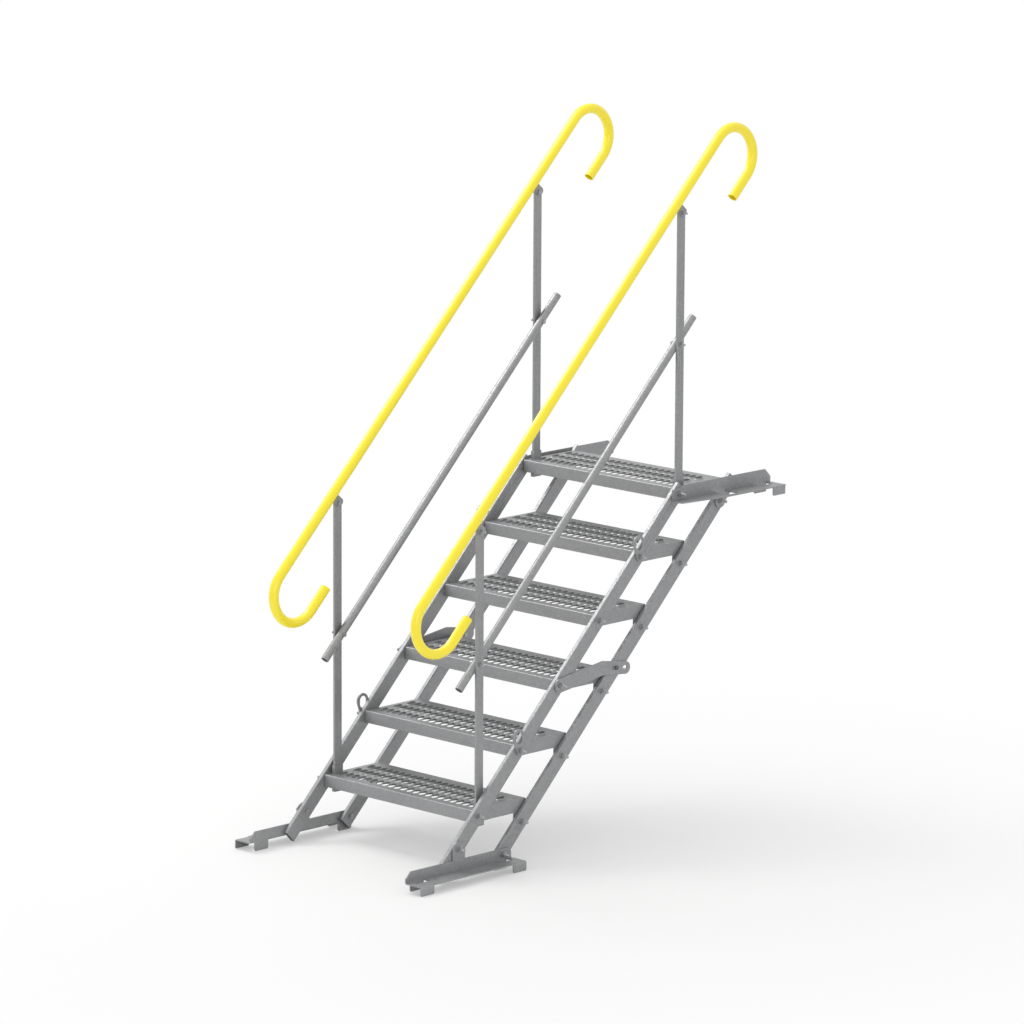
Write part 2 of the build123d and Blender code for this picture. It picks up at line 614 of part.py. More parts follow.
with BuildPart() as handrail_left:
    mirror(handrail_right.part, about=MID_PLANE)
save(handrail_left, "handrail_left")

# Handrail lugs: folded forks under the rail, one cheek each side of a post
LUG_BRIDGE = HANDRAIL_RISE - HANDRAIL / 2 - LUG_SEAT
LUG_INSIDE = POST_THICK / 2 + TURN_GAP
with BuildPart() as handrail_lugs:
    for place in (LUG_BOLT, up_slope(LUG_BOLT, POST_STEP)):
        with BuildPart() as lug:
            with BuildSketch(slope_cut(up_slope(place, LUG_ABOVE))):
                with Locations((POST_X, LUG_BRIDGE)):
                    Rectangle(2 * (LUG_INSIDE + LUG_PLATE), LUG_BRIDGE + LUG_DEPTH, align=(Align.CENTER, Align.MAX))
                with Locations((POST_X, LUG_BRIDGE - LUG_PLATE)):
                    Rectangle(2 * LUG_INSIDE, LUG_BRIDGE + LUG_DEPTH, align=(Align.CENTER, Align.MAX), mode=Mode.SUBTRACT)
            extrude(amount=LUG_BELOW + LUG_ABOVE)
            with BuildSketch(sloped(POST_X, place)):
                with BuildLine():
                    Polyline(
                        (-LUG_BELOW, LUG_BRIDGE),
                        (-LUG_BELOW, LUG_DEPTH / 2 - LUG_BELOW),
                        (0, -LUG_DEPTH),
                        (LUG_ABOVE * 0.6, -LUG_DEPTH),
                        (LUG_ABOVE, -LUG_DEPTH / 2),
                        (LUG_ABOVE - 2, LUG_BRIDGE),
                        close=True,
                    )
                cheek = make_face()
                fillet(cheek.vertices().group_by(Axis.Y)[:-1], LUG_FILLET)
                Circle(BOLT_HOLE, mode=Mode.SUBTRACT)
            extrude(amount=LUG_INSIDE + LUG_PLATE, both=True, mode=Mode.INTERSECT)
        add(lug.part)
    mirror(about=MID_PLANE)
save(handrail_lugs, "handrail_lugs")

# Mid-rails: straight tubes on the inner faces of the posts, one bolt through each crossing
MID_BOLT = (LUG_BOLT[0], front_pivot(1)[1] + MID_BOLT_HEIGHT)
with BuildPart() as mid_rail_right:
    with BuildSketch(slope_cut(up_slope(MID_BOLT, POST_STEP + MID_RAIL_ABOVE))):
        with Locations((MID_RAIL_X, 0)):
            Circle(MID_RAIL / 2)
            Circle(MID_RAIL / 2 - MID_RAIL_WALL, mode=Mode.SUBTRACT)
    extrude(amount=MID_RAIL_BELOW + POST_STEP + MID_RAIL_ABOVE)
    for along in (0, POST_STEP):
        with BuildSketch(upright(MID_RAIL_X, up_slope(MID_BOLT, along))):
            Circle(BOLT_HOLE)
        extrude(amount=MID_RAIL / 2, both=True, mode=Mode.SUBTRACT)
save(mid_rail_right, "mid_rail_right")
with BuildPart() as mid_rail_left:
    mirror(mid_rail_right.part, about=MID_PLANE)
save(mid_rail_left, "mid_rail_left")
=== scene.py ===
# %% [markdown]
# # A crossover stair for site work
#
# The stair is a parallelogram of galvanised tubes: six level treads hang between two front and two rear
# stringers, so that the pitch changes while the treads stay level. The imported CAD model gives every
# piece its true size and place. This script gives each one its finish, and makes the pieces whose
# detail is finer than the CAD holds: perforated treads, rivets, nuts, washers and threads.

# %% Load the frame
import json
import math

import bpy
import numpy as np
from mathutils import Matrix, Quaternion, Vector

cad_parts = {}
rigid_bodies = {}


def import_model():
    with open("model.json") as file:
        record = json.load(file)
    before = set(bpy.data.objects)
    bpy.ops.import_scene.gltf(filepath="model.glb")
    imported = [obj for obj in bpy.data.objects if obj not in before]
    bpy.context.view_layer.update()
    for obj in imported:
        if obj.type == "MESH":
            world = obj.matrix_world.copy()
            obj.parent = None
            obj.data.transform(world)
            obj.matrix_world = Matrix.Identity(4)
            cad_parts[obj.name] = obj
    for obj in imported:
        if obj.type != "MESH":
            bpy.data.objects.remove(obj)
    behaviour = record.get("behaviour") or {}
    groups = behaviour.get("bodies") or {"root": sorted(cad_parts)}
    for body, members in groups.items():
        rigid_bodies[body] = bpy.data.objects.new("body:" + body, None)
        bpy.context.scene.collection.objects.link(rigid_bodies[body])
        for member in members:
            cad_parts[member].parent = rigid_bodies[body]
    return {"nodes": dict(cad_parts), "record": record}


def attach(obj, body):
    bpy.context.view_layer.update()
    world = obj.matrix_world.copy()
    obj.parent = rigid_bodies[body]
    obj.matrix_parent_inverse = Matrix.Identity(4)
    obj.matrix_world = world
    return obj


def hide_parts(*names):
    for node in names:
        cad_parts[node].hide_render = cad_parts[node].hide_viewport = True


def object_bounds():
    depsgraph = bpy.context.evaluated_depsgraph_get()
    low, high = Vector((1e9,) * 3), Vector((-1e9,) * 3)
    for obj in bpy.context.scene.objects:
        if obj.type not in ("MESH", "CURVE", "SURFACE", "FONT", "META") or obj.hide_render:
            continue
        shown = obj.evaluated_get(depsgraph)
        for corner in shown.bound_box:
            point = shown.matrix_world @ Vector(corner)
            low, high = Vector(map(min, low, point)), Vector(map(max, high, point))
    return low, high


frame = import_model()
nodes = frame["nodes"]
cad_low, cad_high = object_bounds()
print("CAD box", [round(v, 3) for v in (*cad_low, *cad_high)])

# %% [markdown]
# ## The camera
#
# The photograph was taken with a long lens from the front right corner, a little above the stair. The
# view was solved from the pivots of the near and the far stringers, which gives a place about twenty
# metres away, a turn of 44 degrees round from the front and a height of 11 degrees.

# %% Camera
CAMERA_PLACE = Vector((13.440, -13.560, 5.007))
CAMERA_TURN = math.radians(44.32)
CAMERA_HEIGHT = math.radians(11.31)
CAMERA_ROLL = math.radians(0.30)
FOCAL_PIXELS = 6109.0
FRAME_PIXELS = 1024.0

camera = bpy.data.objects.new("camera", bpy.data.cameras.new("camera"))
bpy.context.scene.collection.objects.link(camera)
bpy.context.scene.camera = camera
camera.data.sensor_width = 36.0
camera.data.lens = camera.data.sensor_width * FOCAL_PIXELS / FRAME_PIXELS
camera.data.clip_end = 200.0
backwards = Vector((
    math.sin(CAMERA_TURN) * math.cos(CAMERA_HEIGHT),
    -math.cos(CAMERA_TURN) * math.cos(CAMERA_HEIGHT),
    math.sin(CAMERA_HEIGHT),
))
camera.location = CAMERA_PLACE
camera.rotation_mode = "QUATERNION"
camera.rotation_quaternion = (-backwards).to_track_quat("-Z", "Y") @ Quaternion((0, 0, 1), CAMERA_ROLL)
print("lens", round(camera.data.lens, 1), "mm")

# %% [markdown]
# ## Finishes
#
# A material is a small tree of nodes. Every pattern here reads Object coordinates, so it is measured in
# metres and stays put when a piece swings. Four helpers make the trees shorter to write: one starts a
# material, one maps a value through colour stops, one gives a soft noise, one multiplies two colours.

# %% Node helpers
def new_material(name):
    """A new material, returned with its node tree, its Principled shader and its coordinates."""
    material = bpy.data.materials.new(name)
    material.use_nodes = True
    tree = material.node_tree
    shader = tree.nodes["Principled BSDF"]
    place = tree.nodes.new("ShaderNodeTexCoord")
    return material, tree, shader, place


def ramp(tree, value, stops):
    """Maps a value through colour stops given as (position, grey or (r, g, b))."""
    node = tree.nodes.new("ShaderNodeValToRGB")
    while len(node.color_ramp.elements) < len(stops):
        node.color_ramp.elements.new(0.5)
    for element, (position, colour) in zip(node.color_ramp.elements, stops):
        element.position = position
        rgb = (colour,) * 3 if isinstance(colour, (int, float)) else colour
        element.color = (*rgb, 1.0)
    tree.links.new(value, node.inputs["Fac"])
    return node.outputs["Color"]


def noise(tree, place, scale):
    """Soft noise on Object coordinates, with so many lumps a metre."""
    node = tree.nodes.new("ShaderNodeTexNoise")
    node.inputs["Scale"].default_value = scale
    node.inputs["Detail"].default_value = 3.0
    tree.links.new(place.outputs["Object"], node.inputs["Vector"])
    return node.outputs["Fac"]


def multiply(tree, first, second):
    """Multiplies two colours."""
    node = tree.nodes.new("ShaderNodeMix")
    node.data_type = "RGBA"
    node.blend_type = "MULTIPLY"
    node.inputs["Factor"].default_value = 1.0
    tree.links.new(first, node.inputs["A"])
    tree.links.new(second, node.inputs["B"])
    return node.outputs["Result"]


print("materials at the start", len(bpy.data.materials))

# %% [markdown]
# ### Galvanised steel
#
# Hot-dip galvanised steel is a dull grey metal whose zinc froze in small crystals, called spangle: each
# crystal reflects a little more or less than its neighbours. A Voronoi pattern gives every crystal a
# colour of its own, whose red part sets its grey and whose green part sets its roughness. A soft noise
# lays clouds over it. A picture of spangle would repeat and show its seams, and this pattern has none.

# %% Galvanised steel
ZINC_TINT = np.array((1.0, 1.01, 1.03))
CRYSTAL_SPREAD = 0.08
SMOOTHER, ROUGHER = 0.05, 0.07
CLOUDS_A_METRE = 9.0


def galvanised(name, grey, crystals, metallic=0.6, roughness=0.39, shade=None):
    """Zinc coat: a grey, with crystals per metre, and a roughness that differs a little by crystal.

    With shade, the grey is also multiplied by the mesh's own attribute of that name, which paints shade into
    the colour.
    """
    material, tree, shader, place = new_material(name)
    spangle = tree.nodes.new("ShaderNodeTexVoronoi")
    spangle.inputs["Scale"].default_value = crystals
    tree.links.new(place.outputs["Object"], spangle.inputs["Vector"])
    grain = tree.nodes.new("ShaderNodeSeparateColor")
    tree.links.new(spangle.outputs["Color"], grain.inputs["Color"])
    dark = tuple(grey * (1 - CRYSTAL_SPREAD) * ZINC_TINT)
    bright = tuple(grey * (1 + CRYSTAL_SPREAD) * ZINC_TINT)
    crystal = ramp(tree, grain.outputs["Red"], ((0.0, dark), (1.0, bright)))
    cloud = ramp(tree, noise(tree, place, CLOUDS_A_METRE), ((0.25, 0.92), (0.75, 1.0)))
    colour = multiply(tree, crystal, cloud)
    if shade:
        # painted shade: the grey is darkened by the mesh's attribute where shade falls
        own = tree.nodes.new("ShaderNodeAttribute")
        own.attribute_name = shade
        colour = multiply(tree, colour, own.outputs["Color"])
    tree.links.new(colour, shader.inputs["Base Color"])
    shine = ramp(tree, grain.outputs["Green"], ((0.0, roughness - SMOOTHER), (1.0, roughness + ROUGHER)))
    tree.links.new(shine, shader.inputs["Roughness"])
    shader.inputs["Metallic"].default_value = metallic
    return material


print("crystals differ by", round(100 * CRYSTAL_SPREAD), "percent from their grey")

# %% [markdown]
# The tubes, the sheet, the pressed panels and the bolts differ in grey and gloss. The bolts are new and
# bright, with fine crystals. The pressed panels also carry painted shade from their own mesh, darker on
# the walls of their holes and under their lips.

# %% Four galvanised finishes
steel = galvanised("galvanised_steel", 0.35, 150.0, roughness=0.43)
sheet = galvanised("galvanised_sheet", 0.34, 190.0)
# painted shade: this finish multiplies its grey by the mesh's inside attribute, darker inside the holes
pressed = galvanised("galvanised_pressed", 0.36, 190.0, shade="inside")
zinc = galvanised("zinc_bolts", 0.45, 500.0, metallic=0.9, roughness=0.28)
print("galvanised finishes", [made.name for made in (steel, sheet, pressed, zinc)])

# %% [markdown]
# ### Yellow handrails
#
# The handrails are powder coated: one even, glossy yellow over the steel. A very smooth paint could
# give the gloss, but then the whole tube would mirror the room, so a thin clear coat lies over a softer
# colour. Each CAD piece then gets the finish that the part's record names for it.

# %% Yellow paint, and a finish for each node
def powder_coat(name, colour):
    """Glossy sprayed coat: an almost even colour under a clear gloss."""
    material, tree, shader, place = new_material(name)
    darker = tuple(0.97 * c for c in colour)
    tone = ramp(tree, noise(tree, place, 6.0), ((0.3, darker), (0.7, colour)))
    tree.links.new(tone, shader.inputs["Base Color"])
    shader.inputs["Roughness"].default_value = 0.26
    shader.inputs["Specular IOR Level"].default_value = 0.7
    shader.inputs["Coat Weight"].default_value = 0.5
    shader.inputs["Coat Roughness"].default_value = 0.12
    return material


yellow = powder_coat("yellow_paint", (1.0, 0.83, 0.006))
finishes = {"galvanised_steel": steel, "galvanised_sheet": sheet, "zinc_bolts": zinc, "yellow_paint": yellow}
for subpart in frame["record"]["subparts"]:
    node = nodes[subpart["node"]]
    node.data.materials.clear()
    node.data.materials.append(finishes[subpart["material_slot"]])
print("finishes on", len(nodes), "nodes")

# %% [markdown]
# ## Sizes shared with the CAD
#
# The new pieces go exactly where the CAD has theirs, so the linkage's few driving sizes are repeated
# here, in metres. The pitch is 45 degrees, one tread is 265 mm up the slope from the next, and each
# tread's rear pivot is 202 mm behind its front one and 52 mm lower. The faces of an end plate, of a
# stringer and of a plate bolted outside it are given as distances from the middle of the stair.

# %% Places of the pivots
MID_X = -0.398
SLOPE = math.radians(45.0)
PIVOT_STEP = 0.265
FOOT_STEP = 0.1315
FOOT_HEIGHT = 0.072
REAR = (0.202, -0.052)
TREADS = 6
END_PLATE_OUT = 0.343
END_PLATE_IN = 0.340
STRINGER_IN = 0.3445
STRINGER_OUT = 0.3605
PLATE_OUT = 0.3655


def front_pivot(k):
    """(y, z) of the foot's pivot (0) or tread k's: the foot's height plus so many steps up the slope."""
    along = 0.0 if k == 0 else FOOT_STEP + (k - 1) * PIVOT_STEP
    return along * math.cos(SLOPE), FOOT_HEIGHT + along * math.sin(SLOPE)


def rear_pivot(k):
    """(y, z) of the rear pivot: the front one plus the fixed offset."""
    y, z = front_pivot(k)
    return y + REAR[0], z + REAR[1]


def body_of(node):
    """The name of the CAD body that a node rides on."""
    return nodes[node].parent.name.split(":")[1]


print("pivot of tread 6", [round(v, 4) for v in front_pivot(6)], "rides on", body_of("tread_6"))

# %% [markdown]
# ## Surfaces from rings of points
#
# Every new piece is built from loops of points that are joined in order, like the hoops of a barrel. A
# prism has two loops, and a turned solid has one for each station of its profile. Blender's own Spin
# could turn a profile too, but with a formula each point is known and the faces look outwards.

# %% Rings of points
def around(count):
    """So many even angles round a circle, starting at zero."""
    return np.linspace(0, 2 * np.pi, count, endpoint=False)


def rings(loops, closed_ends=True):
    """Joins equal loops of points in order: quads between neighbours, and a flat face on each end."""
    loops = np.asarray(loops, float)
    count, size = loops.shape[:2]
    here = np.arange(size)
    after = np.roll(here, -1)
    faces = []
    for i in range(count - 1):
        base, above = i * size, (i + 1) * size
        faces += list(zip(base + here, base + after, above + after, above + here))
    if closed_ends:
        faces.append(tuple(here[::-1]))
        faces.append(tuple((count - 1) * size + here))
    return loops.reshape(-1, 3), faces


def along_x(outline, start, end):
    """A prism: an outline of (y, z) points, anticlockwise from +X, drawn from x = start to x = end."""
    outline = np.asarray(outline, float)
    return rings([np.column_stack((np.full(len(outline), x), outline)) for x in (start, end)])


def turned(profile, count=28):
    """A turned solid about X: at the angle a, the station (x, r) gives the point (x, r cos a, r sin a)."""
    turn = around(count)
    x, radius = np.array(profile).T[:, :, None]
    return rings(np.stack(np.broadcast_arrays(x, radius * np.cos(turn), radius * np.sin(turn)), axis=-1))


print("a turned disc has", len(turned([(0.0, 0.01), (0.002, 0.01)])[1]), "faces")

# %% [markdown]
# Outlines also need round stretches, and parts have to be put in place. A part is a pair of points and
# faces. The stair is the same on both hands, so the left part is a mirror image of the right one, with
# its faces turned round, because a mirror image alone would be inside out.

# %% Arcs, and parts in place
def arc(centre, radius, first, last, count):
    """Points centre + radius * (cos a, sin a) in (y, z), for a from first to last in degrees."""
    turn = np.radians(np.linspace(first, last, count))
    return list(zip(centre[0] + radius * np.cos(turn), centre[1] + radius * np.sin(turn)))


def moved(part, shift):
    """The same part, shifted by (x, y, z)."""
    points, faces = part
    return points + shift, faces


def mirrored(part):
    """The left-hand copy of a part: x changes its sign, and the faces turn so that they look outwards."""
    points, faces = part
    return points * (-1, 1, 1), [face[::-1] for face in faces]


print("a quarter of a 4 mm bend ends at", [round(float(v), 4) for v in arc((0.0, 0.0), 0.004, 0, 90, 7)[-1]])

# %% [markdown]
# ### From parts to a piece
#
# An object is made once from all its parts. It rides on the body of the CAD node that it belongs to,
# and hides the CAD nodes that it stands for.

# %% One piece from its parts
def piece(name, parts, material, body, replaced=()):
    """One object from several (points, faces) parts, riding on a body and standing for CAD nodes."""
    points, faces, start = [], [], 0
    for part_points, part_faces in parts:
        points.append(part_points)
        faces += [tuple(int(i) + start for i in face) for face in part_faces]
        start += len(part_points)
    mesh = bpy.data.meshes.new(name)
    mesh.from_pydata(np.vstack(points).tolist(), [], faces)
    mesh.update()
    mesh.materials.append(material)
    made = bpy.data.objects.new(name, mesh)
    bpy.context.scene.collection.objects.link(made)
    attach(made, body)
    if replaced:
        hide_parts(*replaced)
    return made


print("bodies to ride on", len({body_of(name) for name in nodes}))

# %% [markdown]
# Three finishing steps are modifiers, so that the mesh stays as it was made: a weld joins the parts'
# equal points, a bevel rounds sharp edges, and an edge split keeps edges crisp on a smooth piece.

# %% Finishing modifiers
WELD_DISTANCE = 0.00002


def weld(made):
    """Joins the points of a piece that lie in one place."""
    made.modifiers.new("weld", "WELD").merge_threshold = WELD_DISTANCE


def crisp(made, angle):
    """Shades a piece smoothly, except across edges sharper than an angle in degrees."""
    made.data.shade_smooth()
    made.modifiers.new("crisp", "EDGE_SPLIT").split_angle = math.radians(angle)


def soften(made, width, angle=35.0):
    """Rounds a piece's sharp edges by so many metres, and keeps its flat faces flat."""
    weld(made)
    edge = made.modifiers.new("round", "BEVEL")
    edge.width = width
    edge.segments = 2
    edge.limit_method = "ANGLE"
    edge.angle_limit = math.radians(angle)
    flat = made.modifiers.new("flat", "WEIGHTED_NORMAL")
    flat.keep_sharp = False
    made.data.shade_smooth()


print("points closer than", WELD_DISTANCE * 1000, "mm are welded")

# %% [markdown]
# ## The perforated panel of a tread
#
# Each tread is one sheet, folded down at the front and the rear, with three rows of holes whose rims
# were pressed upwards for grip. A rim rises from the flat sheet up a cone to a rounded lip, goes down
# inside the hole, and back out along the underside. The lip stands higher at the rear than at the
# front, like a small hood, and in the first row its front lies flat, so one sees through those holes.
#
# A flat sheet could be cut with 66 ovals, which is slow and leaves long thin faces with no lips. Instead
# each hole is a rectangular cell of its own, and neighbouring cells meet at their borders.

# %% Sizes of the holes
HOLE_COLUMNS = 22
COLUMN_STEP = 0.02872
HOLE_ROWS = (  # middle, front border, back border, lip height at the front and at the rear
    (0.0335, 0.0095, 0.0660, 0.0000, 0.0066),
    (0.0985, 0.0660, 0.1300, 0.0034, 0.0070),
    (0.1615, 0.1300, 0.1930, 0.0034, 0.0070),
)
PANEL_SHEET = 0.0018
TREAD_TOP = 0.019
HOLE_SEGMENTS = 28
HOLE_RADIUS = (0.01085, 0.0165)
RIM = (  # share of the hole's radius, share of the lip's height, depth below it in mm
    (1.32, 0.00, 0.0), (1.25, 0.10, 0.0), (1.16, 0.42, 0.0), (1.08, 0.80, 0.0), (1.02, 0.97, 0.0),
    (0.98, 1.00, 0.1), (0.95, 0.97, 0.4), (0.95, 0.92, 0.9), (0.99, 0.85, 1.3), (1.07, 0.60, 1.6),
    (1.18, 0.25, 1.75), (1.30, 0.00, 1.8),
)


print("a hole is", round(2000 * HOLE_RADIUS[0], 1), "by", round(2000 * HOLE_RADIUS[1], 1), "mm")

# %% [markdown]
# ### One cell
#
# The cell is a surface of two parameters: the angle round the hole, and the step across the rim. Its
# first and last rings are the rectangle, and the rings between follow the lip.

# %% One cell round a hole
def cell_border(turn, side, back, front):
    """The rectangle round a hole, as one point at each angle a: min(side / |cos a|, reach / |sin a|)."""
    way = np.column_stack((np.cos(turn), np.sin(turn)))
    across, along = np.maximum(np.abs(way), 1e-9).T
    reach = np.where(way[:, 1] > 0, back, front)
    border = way * np.minimum(side / across, reach / along)[:, None]
    for x, y in ((side, back), (-side, back), (-side, -front), (side, -front)):
        corner = math.atan2(y, x) % (2 * math.pi)
        border[np.argmin(np.abs(turn - corner))] = (x, y)
    return border


def hole_cell(middle, front, back, low, high):
    """One cell: rings from its upper border over the oval rim to its lower border.

    At the angle a from the side, the lip's height is low + (high - low) * ((1 + sin a) / 2) ** 1.5.
    """
    turn = around(HOLE_SEGMENTS)
    border = cell_border(turn, COLUMN_STEP / 2, back - middle, middle - front)
    lip = low + (high - low) * ((1 + np.sin(turn)) / 2) ** 1.5
    radius, rise, depth = np.array(RIM).T[:, :, None]
    across, along = HOLE_RADIUS
    rim = (across * np.cos(turn) * radius, along * np.sin(turn) * radius, rise * lip - depth / 1000)
    upper = np.column_stack((border, np.zeros(HOLE_SEGMENTS)))
    lower = np.column_stack((border, np.full(HOLE_SEGMENTS, -PANEL_SHEET)))
    return rings(np.concatenate(([upper], np.stack(rim, axis=-1), [lower])), closed_ends=False)


print("a cell has", len(hole_cell(*HOLE_ROWS[0])[1]), "faces")

# %% [markdown]
# Three rows of 22 cells make the panel. The rings run inwards from the border, which would leave their
# faces looking into the sheet, so the faces of each row's cell are turned round once.

# %% The panel's cells
panel_cells = []
for row in HOLE_ROWS:
    cell_points, cell_faces = hole_cell(*row)
    cell = cell_points, [face[::-1] for face in cell_faces]
    for column in range(HOLE_COLUMNS):
        x = (column - (HOLE_COLUMNS - 1) / 2) * COLUMN_STEP
        panel_cells.append(moved(cell, (x, row[0], TREAD_TOP)))
PANEL_HALF = HOLE_COLUMNS * COLUMN_STEP / 2
PANEL_FRONT, PANEL_BACK = HOLE_ROWS[0][1], HOLE_ROWS[-1][2]
print(len(panel_cells), "holes on", round(2 * PANEL_HALF, 3), "by", round(PANEL_BACK - PANEL_FRONT, 4), "m")

# %% [markdown]
# ### Folded edges, end plates and rivets
#
# The front and rear edges are one folded section, drawn along the tread. The end plates are flat and
# reach back to the rear pivot with a round ear. Each end plate shows a rivet, whose head is a small
# turned dome. A box with a bevel could stand for a bend, but a drawn section also has the inner side
# of the bend, which shows where the sheet ends.

# %% Sections of the tread's frame
SHEET = 0.0025
TREAD_FRONT = -0.013
TREAD_BACK = 0.238
TREAD_BOTTOM = -0.022
END_PLATE_BOTTOM = -0.024
RIVET_PLACE = (0.212, 0.003)
RIVET_FOOT = END_PLATE_OUT - 0.0002  # sunk a little into the plate
RIVET = (  # height above the foot, radius
    (0.0, 0.0032), (0.0004, 0.0031), (0.0008, 0.0024), (0.0009, 0.0012), (0.0010, 0.0003),
)


def folded_edge(face, joint, sign):
    """Section of a folded edge: up the outer face, round the bend, along the top to the joint and back."""
    outer, inner = 0.004, 0.0015
    bend = (face + sign * outer, TREAD_TOP - outer)
    first, last = (180, 90) if sign > 0 else (0, 90)
    section = [(face, TREAD_BOTTOM)]
    section += arc(bend, outer, first, last, 7)
    section += [(joint, TREAD_TOP), (joint, TREAD_TOP - SHEET)]
    section += arc(bend, inner, last, first, 5)
    section += [(face + sign * SHEET, TREAD_BOTTOM)]
    return section


def end_plate_outline():
    """Outline of an end plate: a long plate, rounded on top, with a round ear about the rear pivot."""
    bend, ear = 0.004, 0.021
    outline = [(TREAD_FRONT, END_PLATE_BOTTOM)]
    outline += arc((TREAD_FRONT + bend, TREAD_TOP - bend), bend, 180, 90, 6)
    outline += arc((TREAD_BACK - bend, TREAD_TOP - bend), bend, 90, 0, 6)
    outline += [(TREAD_BACK, END_PLATE_BOTTOM), (REAR[0] + ear, END_PLATE_BOTTOM)]
    outline += arc(REAR, ear, 0, -180, 25)
    outline += [(REAR[0] - ear, END_PLATE_BOTTOM)]
    return outline


print("the end plate's outline has", len(end_plate_outline()), "points")

# %% [markdown]
# ### Six treads
#
# A tread is two pieces on one body: the panel, and the frame round it, whose cut edges are slightly
# rounded. The photograph shows the walls of the holes darker than the sheet, and that shade is painted
# into the colour: the panel's mesh carries an attribute that is lower on the walls of the holes and under
# their lips, and the panel's material multiplies its grey by it.

# %% Make the treads
# Painted shade: the rings from INSIDE_FROM on, inside each hole, have their grey multiplied by INSIDE_SHADE.
INSIDE_FROM = 6
INSIDE_SHADE = 0.55
SHEET_ROUND = 0.0006


def tread_panel(k, place, body):
    """The perforated top of tread k, with the attribute inside: painted shade, darker on the rings inside a
    hole.
    """
    parts = [moved(cell, place) for cell in panel_cells]
    made = piece(f"tread_{k}_panel", parts, pressed, body)
    ring = np.arange(len(made.data.vertices)) // HOLE_SEGMENTS % (len(RIM) + 2)
    # painted shade on the rings inside a hole, and 1.0 on the rest of the sheet
    inside = np.where((ring >= INSIDE_FROM) & (ring <= len(RIM)), INSIDE_SHADE, 1.0)
    tone = made.data.attributes.new("inside", "FLOAT_COLOR", "POINT")
    tone.data.foreach_set("color", np.repeat(inside, 4).astype(np.float32))
    weld(made)


def tread_frame(k, place, body):
    """The folded edges, plain ends, end plates and rivets of tread k, as one piece for its CAD node."""
    underside = TREAD_TOP - SHEET
    strip = [(PANEL_FRONT, underside), (PANEL_BACK, underside)]
    strip += [(PANEL_BACK, TREAD_TOP), (PANEL_FRONT, TREAD_TOP)]
    parts = [
        along_x(folded_edge(TREAD_FRONT, PANEL_FRONT, 1)[::-1], -END_PLATE_IN, END_PLATE_IN),
        along_x(folded_edge(TREAD_BACK, PANEL_BACK, -1), -END_PLATE_IN, END_PLATE_IN),
    ]
    rivet = turned([(RIVET_FOOT + height, radius) for height, radius in RIVET], count=16)
    hand = [
        along_x(strip, PANEL_HALF, END_PLATE_IN),
        along_x(end_plate_outline()[::-1], END_PLATE_IN, END_PLATE_OUT),
        moved(rivet, (0, *RIVET_PLACE)),
    ]
    parts += hand + [mirrored(part) for part in hand]
    parts = [moved(part, place) for part in parts]
    made = piece(f"tread_{k}_frame", parts, sheet, body, replaced=(f"tread_{k}",))
    soften(made, SHEET_ROUND)


for k in range(1, TREADS + 1):
    tread_panel(k, (MID_X, *front_pivot(k)), body_of(f"tread_{k}"))
    tread_frame(k, (MID_X, *front_pivot(k)), body_of(f"tread_{k}"))
print(TREADS, "treads made, with", TREADS * len(panel_cells), "holes")

# %% [markdown]
# ## Bolts
#
# A bolt is a hexagon head, a washer, a hexagon nut and a threaded end. The corners of a real hexagon
# are cut by a 30 degree cone, which leaves curved edges on its six sides. A cylinder with six sides
# would miss them, so here each ring of points follows the hexagon, and its height drops with its
# distance from the axis.

# %% Hexagon blocks
FACE, BEARING, RECESS = 0.95, 0.92, 0.60  # radii of a nut's faces, as shares of half its width
CONE = math.tan(math.radians(30))


def hexagon(half_width, turn):
    """Distance from the axis to a hexagon's side at each angle: a / cos(angle from the side's middle)."""
    folded = (turn + math.pi / 6) % (math.pi / 3) - math.pi / 6
    return half_width / np.cos(folded)


def hex_solid(half_width, start, end, both=True):
    """A hexagon block along X from start to end, with its corners cut by a cone at one or both ends.

    Where the hexagon lies at the distance r, the cone lowers its end by (r - the face's radius) * tan 30.
    """
    turn = around(36)
    corner = hexagon(half_width, turn)
    drop = np.maximum(corner - FACE * half_width, 0) * CONE
    way = np.sign(end - start)
    stations = [(start, BEARING * half_width), (start + way * drop, corner)] if both else [(start, corner)]
    stations += [(end - way * drop, corner), (end, FACE * half_width), (end, RECESS * half_width)]
    loops = [
        np.column_stack(np.broadcast_arrays(x, radius * np.cos(turn), radius * np.sin(turn)))
        for x, radius in stations
    ]
    return rings(loops if way > 0 else [loop[::-1] for loop in loops])


print("a 16 mm nut's corner is", round(float(hexagon(0.008, math.pi / 6)) * 1000, 2), "mm from the axis")

# %% [markdown]
# The thread is a row of shallow grooves, one and a half millimetres apart on the pivots. A real one is a
# helix, which looks the same as rings at this size, and rings close without a seam.

# %% Threads and washers
THREAD_DEPTH = 0.55  # depth of a groove, as a share of the pitch
CREST = (0.45, 0.60)  # where a crest starts and ends, as shares of the pitch
TIP_CUT = 1.2  # length cut from the tip, as a share of the groove's depth


def thread(start, end, radius, pitch):
    """Stations of a threaded end: crests and roots every pitch, then a bevelled tip."""
    depth = THREAD_DEPTH * pitch
    stations = []
    x = start
    while x + pitch < end - TIP_CUT * depth:
        stations += [(x, radius - depth), (x + CREST[0] * pitch, radius), (x + CREST[1] * pitch, radius)]
        x += pitch
    stations += [(x, radius - depth), (end - depth, radius - 0.3 * depth), (end, radius - TIP_CUT * depth)]
    return stations


def washer_profile(start, radius, thickness):
    """Stations of a washer: a flat disc whose inner and outer rims are cut a little."""
    low, high = start, start + thickness
    low_cut, high_cut = 0.0002, 0.0003
    return [(low, 0.9 * radius), (low, radius - low_cut), (low + low_cut, radius),
            (high - high_cut, radius), (high, radius - high_cut), (high, 0.8 * radius)]


